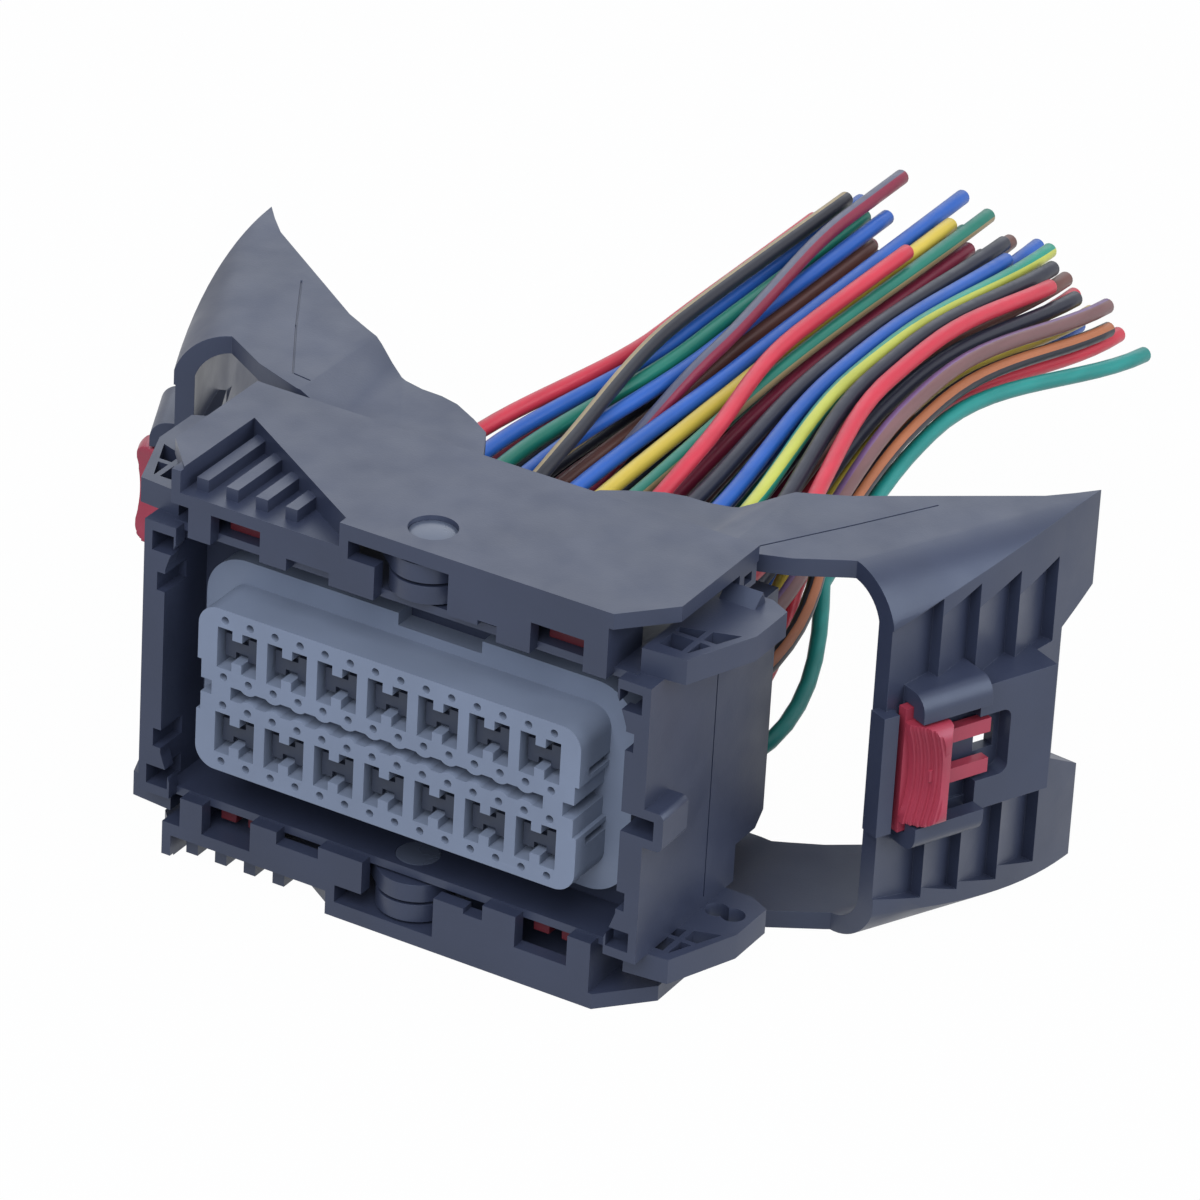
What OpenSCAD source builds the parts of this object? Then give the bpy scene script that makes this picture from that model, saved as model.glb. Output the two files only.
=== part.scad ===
// Lever-locked engine control unit connector with its cut wires.
// X runs across the connector, Y from the mating face to the wires, Z up.
// The origin is the centre of the flat base that the connector rests on.

/* [Contact grid] */
// Distance between neighbouring contact columns
contact_pitch = 2.54; // [2.5:0.01:2.6]
// Number of contact columns, two for each window
contact_columns = 14; // [2:2:14]
// Height of the outer contact rows above and below the grid centre
row_outer = 7.0; // [6.8:0.05:7.1]
// Height of the inner contact rows above and below the grid centre
row_inner = 1.4; // [1.3:0.05:1.5]
// Diameter of a contact entry hole
entry_d = 0.75; // [0.6:0.05:0.9]
// Width of the square cavity behind an entry hole
cavity_w = 1.9; // [1.8:0.05:2.0]
// Clearance round a contact in its cavity
contact_gap = 0.2; // [0.15:0.05:0.3]
// Length of a contact
contact_len = 7.0; // [6:0.25:8]

/* [Socket block] */
// Width of the block that enters the header
block_w = 38.4; // [38:0.1:39]
// Height of the block that enters the header
block_h = 16.0; // [15.8:0.1:16.2]
// Corner radius of the block
block_r = 2.0; // [1:0.25:3]
// Depth of the block from its face to its flange
block_depth = 5.0; // [4.5:0.25:6]
// Width of the flange
flange_w = 43.2; // [42.5:0.1:44]
// Height of the flange
flange_h = 20.4; // [20:0.1:21]
// Corner radius of the flange
flange_r = 4.0; // [3:0.25:5]
// Thickness of the flange
flange_t = 2.2; // [1.8:0.1:2.6]
// Width of the body behind the flange
rear_w = 40.0; // [39:0.1:40.4]
// Height of the body behind the flange
rear_h = 17.6; // [17.2:0.1:18]
// Depth of the socket block from its face to its back
socket_depth = 15.0; // [14:0.25:16]
// Distance of the block's centre below the frame's centre
block_drop = 0.5; // [0.3:0.05:0.6]
// Width and height of a window
window_w = 4.0; // [3.8:0.05:4.2]
// Depth of a window
window_depth = 3.4; // [3:0.1:3.8]
// Width of the tabs in a window
tab_w = 1.0; // [0.8:0.05:1.2]
// Length of the tabs in a window
tab_len = 0.9; // [0.7:0.05:1]

/* [Frame] */
// Width over the side walls
frame_w = 50.6; // [50:0.1:51.5]
// Distance of the frame's front behind the mating face
front_y = 0.5; // [0.3:0.05:0.7]
// Half of the height over the covers
cover_h = 19.4; // [19.4:0.05:20]
// Thickness of a cover
cover_t = 1.5; // [1.4:0.05:1.5]
// Distance of the covers' back edge behind the mating face
cover_back = 18.0; // [17.5:0.1:18.2]
// Thickness of a side wall
wall_t = 2.2; // [1.8:0.1:2.4]
// Half of the height of a side wall
wall_h = 13.5; // [13.3:0.05:13.6]
// Distance of the side walls' back edge behind the mating face
wall_back = 22.0; // [20:0.25:22.5]
// Thickness of the front fascia
fascia_t = 1.4; // [1.2:0.05:1.6]
// Thickness of the ledges under the lever arms
ledge_t = 0.8; // [0.7:0.05:0.9]
// Thickness of the bulkhead that carries the socket block
bulkhead_t = 1.6; // [1.4:0.1:2]
// Clearance between the socket block and the bulkhead
block_gap = 0.15; // [0.1:0.01:0.2]
// How far an ear stands out from the side wall
ear_reach = 4.7; // [4:0.1:5]
// Thickness of an ear
ear_t = 2.4; // [2:0.1:2.4]
// Depth of the ribbed recess in a cover
recess_depth = 2.3; // [2:0.05:2.4]
// Distance between the ribs in the recess
rib_pitch = 3.0; // [2.8:0.05:3.1]

/* [Levers] */
// Distance of the pivot to the right of the centre
pivot_x = 1.2; // [1:0.05:1.4]
// Distance of the pivot behind the mating face
pivot_y = 4.4; // [4.4:0.05:4.6]
// Diameter of a pivot pin
pin_d = 4.0; // [3.6:0.1:4.2]
// Radial clearance of a lever on its pin
pin_gap = 0.05; // [0.03:0.01:0.08]
// Radius of a lever's hub
hub_r = 3.6; // [3.4:0.1:3.7]
// Thickness of a lever's arms
arm_t = 1.7; // [1.5:0.05:1.75]
// Clearance between stacked arms, covers and ledges
arm_gap = 0.3; // [0.25:0.01:0.4]
// Height that the arms rise outside the frame
arm_rise = 1.8; // [1.6:0.05:2]
// Radius of the curved lever wall
wing_r = 80; // [79.5:0.1:80.5]
// Thickness of the lever wall
wing_t = 2.0; // [1.8:0.05:2.2]
// Radius of the edge between the wall and the arms
wing_edge = 5.8; // [5.4:0.1:6.2]
// Depth of a grip step
grip_depth = 1.25; // [1:0.05:1.35]

/* [Latches] */
// Half of the height of the latch window between its rails
latch_window = 5.2; // [5.1:0.05:5.4]
// Half of the height of the latch housing
housing_h = 7.7; // [7.5:0.1:7.9]
// How far the latch housing stands out from the wall
housing_out = 1.6; // [1.5:0.05:1.8]
// Thickness of the latch plate
latch_t = 1.0; // [0.8:0.05:1.1]
// Depth to which the latch plate enters each rail
latch_hold = 0.9; // [0.7:0.05:1]
// Clearance of the latch plate in its rails
latch_gap = 0.15; // [0.1:0.01:0.2]
// Height of the finger pad on the latch plate
pad_t = 3.0; // [2.8:0.1:3.2]

/* [Wires] */
// Outside diameter of a wire
wire_d = 1.5; // [1.3:0.05:1.5]
// Diameter of a wire hole in the rear retainer
wire_hole_d = 1.9; // [1.8:0.05:2]
// Thickness of the rear retainer
retainer_t = 1.6; // [1.4:0.1:2]

/* [Hidden] */
$fn = 48;

plastic_black = [0.10, 0.11, 0.14];
plastic_grey = [0.42, 0.46, 0.54];
plastic_red = [0.62, 0.10, 0.14];
contact_tin = [0.75, 0.72, 0.66];

half_w = frame_w / 2;
window_pitch = 2 * contact_pitch;
window_z = (row_outer + row_inner) / 2;
grid_w = (contact_columns - 1) * contact_pitch;
row_z = [row_outer, row_inner, -row_inner, -row_outer];
base_mid_y = (front_y + cover_back) / 2;
cover_under = cover_h - cover_t;

// Stack of the two arms between a cover and its ledge
outer_arm_z = cover_under - arm_gap - arm_t;
inner_arm_z = outer_arm_z - arm_gap - arm_t;
ledge_top = inner_arm_z - arm_gap;
ledge_under = ledge_top - ledge_t;
shoulder_t = 0.5;
head_r = pin_d / 2 + 0.2;

// Front of the cavities, and the back of the contacts and where the wires start
cavity_front = socket_depth - contact_len - 2.6;
contact_back = cavity_front + contact_len;
retainer_back = socket_depth + retainer_t;
finger_w = 3.2;
finger_h = 2.0;
finger_gap = 0.1;
finger_front = 1.4;

// Puts the part's origin at the centre of its base
module place() {
  translate([0, -base_mid_y, cover_h])
    children();
}

// Mirrored copies above and below, or left and right
module both_z() {
  children();
  mirror([0, 0, 1])
    children();
}

module both_x() {
  children();
  mirror([1, 0, 0])
    children();
}

// A shape drawn in X and Z, made solid from y0 to y1
module along_y(y0, y1) {
  translate([0, y1, 0])
    rotate([90, 0, 0])
      linear_extrude(y1 - y0)
        children();
}

// A shape drawn in Y and Z, made solid from x0 to x1
module along_x(x0, x1) {
  translate([x0, 0, 0])
    rotate([90, 0, 90])
      linear_extrude(x1 - x0)
        children();
}

// A shape drawn in X and Y, made solid from z0 to z1
module along_z(z0, z1) {
  translate([0, 0, z0])
    linear_extrude(z1 - z0)
      children();
}

module rounded_rect(w, h, r) {
  square([w - 2 * r, h], center = true);
  square([w, h - 2 * r], center = true);
  for (x = [-1, 1], z = [-1, 1])
    translate([x * (w / 2 - r), z * (h / 2 - r)])
      circle(r);
}

module span(x0, x1, z0, z1) {
  translate([x0, z0])
    square([x1 - x0, z1 - z0]);
}

module at_columns() {
  for (column = [0 : contact_columns - 1])
    translate([column * contact_pitch - grid_w / 2, 0])
      children();
}

module at_windows() {
  for (column = [0 : 2 : contact_columns - 1], z = [-window_z, window_z])
    translate([(column + 0.5) * contact_pitch - grid_w / 2, z])
      children();
}

module at_contacts() {
  at_columns()
    for (z = row_z)
      translate([0, z])
        children();
}

// Socket block: face with windows, entry holes and a scalloped slot, on a flange
side_step = 0.4;
side_step_h = 5.0;
key_w = 1.4;
key_depth = 1.5;
slot_h = 1.3;
slot_depth = 3.0;
boss_r = 1.05;
groove_h = 0.8;
groove_depth = 0.8;
groove_z = 3.4;
groove_start = 1.6;
notch_x0 = -2.2;
notch_x1 = 6.2;
notch_depth = 1.2;

module window_outline() {
  difference() {
    square([window_w, window_w], center = true);
    for (z = [-1, 1])
      translate([0, z * (window_w - tab_len) / 2])
        square([tab_w, tab_len], center = true);
  }
}

module slot_outline() {
  difference() {
    square([grid_w - 2 * boss_r + 0.6, slot_h], center = true);
    at_columns()
      for (z = [-row_inner, row_inner])
        translate([0, z])
          circle(boss_r);
  }
}

module block_outline() {
  difference() {
    rounded_rect(block_w, block_h, block_r);
    for (x = [-1, 1])
      translate([x * block_w / 2, 0]) {
        square([2 * side_step, side_step_h], center = true);
        square([2 * key_depth, key_w], center = true);
      }
  }
}

module socket_block() {
  flange_y = block_depth + flange_t;
  color(plastic_grey)
    place()
      translate([0, 0, -block_drop])
        difference() {
          union() {
            along_y(0, block_depth)
              block_outline();
            along_y(block_depth, flange_y)
              difference() {
                rounded_rect(flange_w, flange_h, flange_r);
                span(notch_x0, notch_x1, flange_h / 2 - notch_depth, flange_h);
              }
            along_y(flange_y, socket_depth)
              rounded_rect(rear_w, rear_h, block_r);
          }
          along_y(-1, window_depth)
            at_windows()
              window_outline();
          along_y(-1, slot_depth)
            slot_outline();
          along_y(-1, cavity_front)
            at_contacts()
              circle(d = entry_d);
          along_y(cavity_front, socket_depth + 1)
            at_contacts()
              square(cavity_w, center = true);
          along_y(window_depth - 0.1, socket_depth + 1)
            at_windows()
              square([finger_w + 2 * finger_gap, finger_h + 2 * finger_gap], center = true);
          for (x = [-1, 1], z = [-1, 1])
            translate([x * block_w / 2, 0, z * groove_z])
              along_y(groove_start, block_depth)
                square([2 * groove_depth, groove_h], center = true);
        }
}

// Rear retainer: a plate that the wires pass through, with one locking finger a window
finger_tip_w = 1.0;
finger_tip_h = 1.0;

module rear_retainer() {
  color(plastic_black)
    place()
      translate([0, 0, -block_drop]) {
        along_y(socket_depth, retainer_back)
          difference() {
            rounded_rect(rear_w, rear_h, block_r);
            at_contacts()
              circle(d = wire_hole_d);
          }
        along_y(finger_front + finger_tip_w, socket_depth)
          at_windows()
            square([finger_w, finger_h], center = true);
        along_y(finger_front, finger_front + finger_tip_w)
          at_windows() {
            square([finger_w, finger_tip_h], center = true);
            square([finger_w - 2 * finger_tip_w, finger_h], center = true);
          }
      }
}

// Contacts: one row of crimped socket contacts
contact_bore = 0.64;
contact_bore_len = 4.0;

module contacts_row(row) {
  contact_w = cavity_w - 2 * contact_gap;
  color(contact_tin)
    place()
      translate([0, 0, row_z[row] - block_drop])
        difference() {
          along_y(cavity_front, contact_back)
            at_columns()
              square(contact_w, center = true);
          along_y(cavity_front - 1, cavity_front + contact_bore_len)
            at_columns()
              square(contact_bore, center = true);
        }
}

// Outer frame: covers, fascia, side walls, ears and keyways in one moulding
chamfer_x = 4.0;
chamfer_y = 4.5;
fascia_half = 20.9;
fascia_low = ledge_under + 0.2;
recess_x0 = -21.8;
recess_x1 = -5.7;
recess_front = 1.5;
recess_slope = 0.66;
recess_wall = 0.9;
recess_floor_t = 1.2;
rib_w = 1.2;
rib_h_above = 1.2;
rib_h_below = 2.1;
rib_front = 1.9;
rib_first = 1.4;
inner_half = half_w - wall_t;

// Notches open towards the mating space: x from, x to, top
fascia_notches = [
  [-18.6, -13.6, 16.0], [13.4, 18.6, 16.0], [-10.9, -6.6, 14.2], [-2.1, 8.2, 14.0], [8.2, 10.1, 14.5]
];
// Windows onto the hubs: x from, x to, bottom
fascia_windows = [[-4.8, -2.1, 16.2], [-2.1, 5.2, 13.7]];

function recess_back(x) = recess_front + recess_slope * (recess_x1 - x);

module cover_outline() {
  polygon([
    [-half_w, front_y + chamfer_y], [-half_w + chamfer_x, front_y],
    [half_w - chamfer_x, front_y], [half_w, front_y + chamfer_y],
    [half_w, cover_back], [-half_w, cover_back]
  ]);
}

module recess_outline(grow) {
  polygon([
    [recess_x0 - grow, front_y], [recess_x1 + grow, front_y],
    [recess_x1 + grow, recess_back(recess_x1) + grow],
    [recess_x0, recess_back(recess_x0) + 1.2 * grow],
    [recess_x0 - grow, recess_back(recess_x0) + 1.2 * grow]
  ]);
}

module cover(rib_h) {
  recess_z = cover_h - recess_depth;
  difference() {
    union() {
      along_z(cover_under, cover_h)
        cover_outline();
      along_z(recess_z - recess_floor_t, cover_h - 0.2)
        recess_outline(recess_wall);
    }
    translate([0, -1, 0])
      along_z(recess_z, cover_h + 1)
        translate([0, 1])
          recess_outline(0);
    along_z(recess_z, cover_h + 1)
      span(recess_x0, recess_x1, front_y - 1, front_y + 0.1);
    translate([pivot_x, pivot_y, 0]) {
      along_z(cover_under - 1, cover_h)
        circle(pin_d / 2);
      along_z(cover_under + shoulder_t, cover_h + 1)
        circle(head_r);
    }
  }
  for (rib = [0 : 3]) {
    x = recess_x0 + rib_first + rib * rib_pitch;
    along_z(recess_z - 0.1, recess_z + rib_h)
      span(x - rib_w / 2, x + rib_w / 2, rib_front, recess_back(x) + 0.2);
  }
}

module fascia() {
  along_y(front_y, front_y + fascia_t)
    difference() {
      span(-fascia_half, fascia_half, fascia_low, cover_under + 0.1);
      for (notch = fascia_notches)
        span(notch[0], notch[1], fascia_low - 1, notch[2]);
      for (hole = fascia_windows)
        span(hole[0], hole[1], hole[2], cover_under);
      span(recess_x0, recess_x1, cover_h - recess_depth, cover_h);
    }
}

// Wall that runs back from each end of the fascia, lower under the ribbed recess
return_t = 1.2;
return_back = 6.4;

module fascia_return(top) {
  along_z(fascia_low, top)
    span(fascia_half - return_t, fascia_half, front_y + fascia_t - 0.1, return_back);
}

module ledge() {
  difference() {
    along_z(ledge_under, ledge_top)
      span(-inner_half - 0.1, inner_half + 0.1, front_y + fascia_t - 0.1, wall_low_back);
    translate([pivot_x, pivot_y, 0])
      along_z(ledge_under - 1, ledge_top + 1)
        circle(pin_d / 2);
  }
}

// Side wall, seen from the side, longer above than below
wall_low_back = 17.3;
wall_low_z = -9.8;
wall_corner = 1.3;
strip_w = 3.2;
strip_arc_r = 30.5;
strip_narrow = 0.8;
strip_hole_depth = 3.4;
keyway_w = 1.9;
keyway_out = 1.0;
keyway_t = 0.9;
keyway_len = 4.2;

module side_wall() {
  along_x(half_w - wall_t, half_w)
    polygon([
      [front_y, -wall_h], [wall_low_back, -wall_h], [wall_low_back, wall_low_z],
      [wall_back - wall_corner, wall_low_z], [wall_back, wall_low_z + wall_corner],
      [wall_back, wall_h], [front_y, wall_h]
    ]);
  along_y(front_y, front_y + fascia_t)
    difference() {
      span(half_w - strip_w, half_w - 0.1, -wall_h, wall_h);
      translate([half_w - strip_narrow - strip_arc_r, 0])
        circle(strip_arc_r, $fn = 120);
    }
}

// Square hole at both ends of a front strip and a narrow one beside it
module strip_holes() {
  both_z()
    along_y(front_y - 1, front_y + strip_hole_depth) {
      span(half_w - 3, half_w - 0.8, 10.7, 12.6);
      span(half_w - 2.2, half_w - 1.4, 6.9, 8.7);
    }
}

// Fine parting line down the outside of a side wall
parting_y = 12.0;
parting_w = 0.16;
parting_depth = 0.12;

module parting_line() {
  along_x(half_w - parting_depth, half_w + 0.05)
    span(parting_y, parting_y + parting_w, -wall_h + 1, wall_h - 0.1);
}

module keyway() {
  along_y(front_y, front_y + keyway_len)
    translate([half_w + (keyway_out + keyway_t) / 2 - 0.5, 0])
      rounded_rect(keyway_out + keyway_t + 1, keyway_w + 2 * keyway_t, 0.6);
}

module keyway_slot() {
  along_y(front_y - 1, front_y + keyway_len - keyway_t)
    span(half_w - strip_w - 1, half_w + keyway_out, -keyway_w / 2, keyway_w / 2);
}

// Ear with crossed ribs, a round-ended slot below and a stop ridge above
ear_front = 2.4;
ear_z = wall_h;
ear_back = 16.0;
ear_pocket_in = -1.4;
ear_pocket_y0 = 3.9;
ear_pocket_y1 = 7.3;
ear_pocket_tip = [3.7, 9.0];
ear_cross = [1.05, 6.3];
ear_rib_w = 0.55;
ear_slot_y = 12.4;
ear_slot_r = 1.1;
ear_slot_len = 1.6;
ridge_w = 2.0;
ridge_h = 1.1;
ridge_y = 13.4;

module ear_outline() {
  polygon([
    [half_w - wall_t, ear_front], [half_w + 0.42 * ear_reach, ear_front + 0.4],
    [half_w + ear_reach, 9.8], [half_w + ear_reach, ear_back - 1.1],
    [half_w + ear_reach - 2, ear_back], [half_w - wall_t, ear_back]
  ]);
}

module ear_pockets() {
  translate([half_w, 0])
    difference() {
      polygon([
        [ear_pocket_in, ear_pocket_y0], [0.3 * ear_reach, ear_pocket_y0], ear_pocket_tip,
        [ear_cross[0], ear_pocket_y1 + 0.8], [ear_pocket_in, ear_pocket_y1]
      ]);
      translate(ear_cross)
        for (turn = [0, 90])
          rotate(turn)
            square([9, ear_rib_w], center = true);
    }
}

module ear() {
  along_z(ear_z, ear_z + ear_t)
    difference() {
      ear_outline();
      ear_pockets();
    }
}

module ear_slot() {
  along_z(-ear_z - ear_t - 1, -ear_z + 1)
    for (x = [0, 1])
      translate([half_w + 1.2 + x * ear_slot_len, ear_slot_y])
        circle(ear_slot_r);
}

module ear_ridge() {
  along_x(half_w - 1.2, half_w + ear_reach - 2.4)
    polygon([
      [ridge_y, ear_z + ear_t - 0.1], [ridge_y + ridge_w, ear_z + ear_t - 0.1],
      [ridge_y + 0.75 * ridge_w, ear_z + ear_t + ridge_h]
    ]);
}

// Post that ties a cover's back corner to its ear, with a small window
post_w = 1.6;
post_len = 3.0;

module corner_post() {
  z0 = ear_z + ear_t;
  along_x(half_w - post_w - 0.1, half_w - 0.1)
    difference() {
      span(cover_back - post_len, cover_back - 0.1, z0 - 0.1, cover_under + 0.1);
      span(cover_back - post_len + 0.8, cover_back - 0.9, z0 + 0.5, cover_under - 0.6);
    }
}

module bulkhead() {
  y0 = block_depth + flange_t;
  along_y(y0, y0 + bulkhead_t)
    difference() {
      span(-inner_half - 0.1, inner_half + 0.1, -ledge_under - 0.1, ledge_under + 0.1);
      translate([0, -block_drop])
        rounded_rect(rear_w + 2 * block_gap, rear_h + 2 * block_gap, block_r);
    }
}

module outer_frame() {
  color(plastic_black)
    place()
      difference() {
        union() {
          cover(rib_h_above);
          mirror([0, 0, 1])
            cover(rib_h_below);
          both_z() {
            fascia();
            fascia_return(cover_under + 0.1);
            mirror([1, 0, 0])
              fascia_return(cover_h - recess_depth - recess_floor_t + 0.1);
            ledge();
            both_x() {
              ear();
              corner_post();
            }
          }
          both_x() {
            side_wall();
            ear_ridge();
          }
          keyway();
          bulkhead();
        }
        keyway_slot();
        both_x() {
          strip_holes();
          ear_slot();
          parting_line();
        }
      }
}

// Pivot pins: each carries both hubs between a ledge and a cover
head_below = 0.25;
head_dome = 0.35;
dome_r = (head_r * head_r + head_dome * head_dome) / (2 * head_dome) + 6;

module pivot_pin() {
  translate([pivot_x, pivot_y, 0])
    rotate_extrude()
      intersection() {
        union() {
          span(0, pin_d / 2, ledge_under, cover_h);
          span(0, head_r, cover_under + shoulder_t, cover_h - head_below);
        }
        translate([0, cover_h - head_below - dome_r])
          circle(dome_r, $fn = 160);
      }
}

module upper_pivot_pin() {
  color(plastic_black)
    place()
      pivot_pin();
}

module lower_pivot_pin() {
  color(plastic_black)
    place()
      mirror([0, 0, 1])
        pivot_pin();
}

// Interlocks: red blocks on the ledges behind the outer fascia notches
interlock_w = 4.4;
interlock_y = 3.0;
interlock_len = 2.6;
interlock_h = 1.7;
interlock_slot = 1.2;

module lever_interlocks() {
  color(plastic_red)
    place()
      both_z()
        both_x()
          translate([(fascia_notches[1][0] + fascia_notches[1][1]) / 2, 0, ledge_top])
            difference() {
              along_y(interlock_y, interlock_y + interlock_len)
                span(-interlock_w / 2, interlock_w / 2, 0, interlock_h);
              along_y(interlock_y - 1, interlock_y + interlock_len / 2)
                span(-interlock_slot / 2, interlock_slot / 2, interlock_h / 2, interlock_h + 1);
            }
}

// Levers: right-hand form, open as it is delivered; the left one is the same piece turned over
wing_x = -37.0;
wing_y = 53.5;
wing_end = wing_x + wing_r;
arm_front = [
  [12.5, 11.6], [16.4, 18.4], [21.8, 18.9], [wing_end - 16, 20.9], [wing_end - 11.3, 23.8],
  [wing_end - 4, 21.2]
];
arm_back = [
  [wing_end + 17, 30], [wing_end + 17, 60], [wing_end - 0.2, 47.5], [wing_end - 1.8, 45.6],
  [wing_end - 3.7, 43.6], [wing_end - 12.6, 37.1], [wing_end - 17.4, 33.6], [22.6, 32],
  [20.6, 31], [18.7, 29.8], [16.6, 28.7], [14.6, 28.2], [12.5, 28.1], [10.6, 27.6], [8, 26.1], [5.8, 24.6]
];
ramp_x0 = 17.2;
ramp_x1 = 21.4;
arm_z = (inner_arm_z + outer_arm_z) / 2;
lever_shift = (outer_arm_z - inner_arm_z) / 2;
lever_top = arm_z + arm_rise + arm_t;
bar_place = on_wing(wing_r + 0.2, -23.59);
bar_angle = -26.6;

// Plan of an arm, with its hub on the pivot
module arm_outline(hub_x) {
  translate([hub_x, pivot_y])
    circle(hub_r);
  polygon(concat(
    [[hub_x + 0.55 * hub_r, pivot_y - 0.835 * hub_r]], arm_front, arm_back,
    [[hub_x - 0.7 * hub_r, pivot_y + 0.7 * hub_r]]
  ));
}

// Hub end of an arm and the ramp up to the wing
module arm_level() {
  along_y(-5, 60)
    polygon([
      [-10, arm_z], [ramp_x0, arm_z], [ramp_x1, arm_z + arm_rise], [ramp_x1 + 0.5, arm_z + arm_rise],
      [ramp_x1 + 0.5, lever_top], [ramp_x1, lever_top], [ramp_x0, arm_z + arm_t], [-10, arm_z + arm_t]
    ]);
}

// Long bar whose rounded edges shape the wing, full at the front and running out at the tip
module wing_bar(inset, top, edge) {
  translate([bar_place[0], bar_place[1], 0])
    rotate([0, 0, bar_angle])
      along_y(-60, 60) {
        span(-60, -inset - edge, -top, top);
        span(-inset - edge - 0.1, -inset, -top + edge, top - edge);
        for (z = [-1, 1])
          translate([-inset - edge, z * (top - edge)])
            circle(edge, $fn = 64);
      }
}

module wing_plan(r) {
  intersection() {
    translate([wing_x, wing_y])
      circle(r, $fn = 360);
    span(ramp_x1, 60, 0, 60);
  }
}

module wing_shell(hub_x) {
  difference() {
    intersection() {
      along_z(-lever_top, lever_top)
        intersection() {
          wing_plan(wing_r);
          arm_outline(hub_x);
        }
      wing_bar(0, lever_top, wing_edge);
    }
    intersection() {
      along_z(-lever_top, lever_top)
        translate([-1, 0])
          wing_plan(wing_r - wing_t + 1);
      wing_bar(wing_t, lever_top - arm_t, wing_edge - wing_t);
    }
  }
}

function on_wing(r, angle) = [wing_x + r * cos(angle), wing_y + r * sin(angle)];

// Sawtooth grip steps cut into the wall: bearings of both ends, then heights above and below
grip_table = [
  [-23.6, -19.2, 15.4, 14.4], [-19.2, -16, 15.4, 15.2], [-16, -12.3, 14.8, 16.2], [-12.3, -8.5, 14.2, 16.6]
];
grip_low = 5.8;
grip_rise = 1.8;

module grip_steps() {
  for (step = grip_table) {
    chord = 2 * wing_r * sin((step[1] - step[0]) / 2);
    slope = grip_rise / chord;
    intersection() {
      along_z(-lever_top - 1, lever_top + 1)
        polygon([
          on_wing(wing_r, step[0]), on_wing(wing_r - grip_depth, step[1]),
          on_wing(wing_r + 3, step[1]), on_wing(wing_r + 3, step[0])
        ]);
      translate([wing_x + wing_r * cos(step[0]), wing_y + wing_r * sin(step[0]), 0])
        rotate([0, 0, (step[0] + step[1]) / 2 + 90])
          along_y(-5, 5) {
            grip_side(step[2], chord, slope);
            mirror([0, 1])
              grip_side(step[3], chord, slope);
          }
    }
  }
}

module grip_side(height, chord, slope) {
  polygon([
    [-1, grip_low], [chord + 1, grip_low], [chord + 1, height + slope],
    [-1, height - (chord + 1) * slope]
  ]);
}

// Frame of the latch: X outwards from the wall, Y along it to the rear
latch_place = on_wing(wing_r - 0.6, -20.96);
latch_angle = -25;
rail_front = -0.8;
rail_out = 3.1;
rail_rear = 6.5;
block_half = 6.2;
housing_rear = 14.6;
housing_in = 2.8;
latch_set = 0.9;
pocket_front = -2.0;
pocket_floor = 0;
pocket_rear = 9.9;
yoke_h = 3.2;
yoke_round = 0.9;
relief = 2.2;
relief_from = 1.2;
through_front = 7.2;
through_h = 1.2;
guard_h = 5.9;
guard_in = -0.4;
guard_out = 1.6;
guard_front = -3.9;
guard_rear = -2.3;

module latch_frame() {
  translate([latch_place[0], latch_place[1], 0])
    rotate([0, 0, latch_angle])
      children();
}

module latch_housing() {
  along_z(-block_half, block_half)
    span(-housing_in, housing_out, rail_rear - 0.1, housing_rear);
  along_z(-housing_h, housing_h)
    span(-housing_in, 0, rail_front, rail_rear);
  both_z()
    along_y(rail_front, rail_rear) {
      span(-housing_in, rail_out - rail_round, latch_window, housing_h);
      span(-housing_in, rail_out, latch_window, housing_h - rail_round);
      translate([rail_out - rail_round, housing_h - rail_round])
        circle(rail_round);
    }
  along_z(-guard_h, guard_h)
    span(guard_in, guard_out, guard_front, guard_rear);
}

module latch_pocket() {
  groove_half = latch_t / 2 + latch_gap;
  along_z(-latch_window, latch_window)
    span(pocket_floor, rail_out + 3, pocket_front, rail_rear);
  along_x(pocket_floor, rail_out + 3)
    translate([(rail_rear - 3 + pocket_rear) / 2, 0])
      rounded_rect(pocket_rear - rail_rear + 3, 2 * yoke_h, yoke_round);
  along_z(-through_h, through_h)
    span(-housing_in - 3, pocket_floor + 0.1, through_front, pocket_rear - 0.6);
  along_z(-through_h - relief, through_h)
    span(-housing_in - 3, -relief_from, through_front, pocket_rear + relief);
  along_z(-latch_window - latch_hold - latch_gap, latch_window + latch_hold + latch_gap)
    span(latch_set - groove_half, latch_set + groove_half, pocket_front, rail_rear);
}

// Rear edge of the wall, set back beside the latch housing
rear_edge = 18.4;
rear_low = 6.6;
rear_high = 9.4;
rail_round = 1.6;

module rear_cut() {
  translate([latch_place[0], latch_place[1], 0])
    rotate([0, 0, latch_angle])
      along_x(-12, 8)
      polygon([
        [rear_edge, -rear_low], [rear_edge, rear_low], [rear_edge + 4.8, rear_high],
        [40, rear_high], [40, -rear_high], [rear_edge + 4.8, -rear_high]
      ]);
}

// Fine seam across the top and the underside of a lever
seam_points = [[21.6, 20.8], [23.6, 21.1], [28.3, 29], [32.6, 36.6]];
seam_w = 0.16;
seam_depth = 0.14;

module lever_seam() {
  both_z()
    along_z(lever_top - seam_depth, lever_top + 0.1)
      for (k = [0 : len(seam_points) - 2]) {
        run = seam_points[k + 1] - seam_points[k];
        translate(seam_points[k])
          rotate(atan2(run[1], run[0]))
            translate([0, -seam_w / 2])
              square([norm(run), seam_w]);
      }
}

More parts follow.
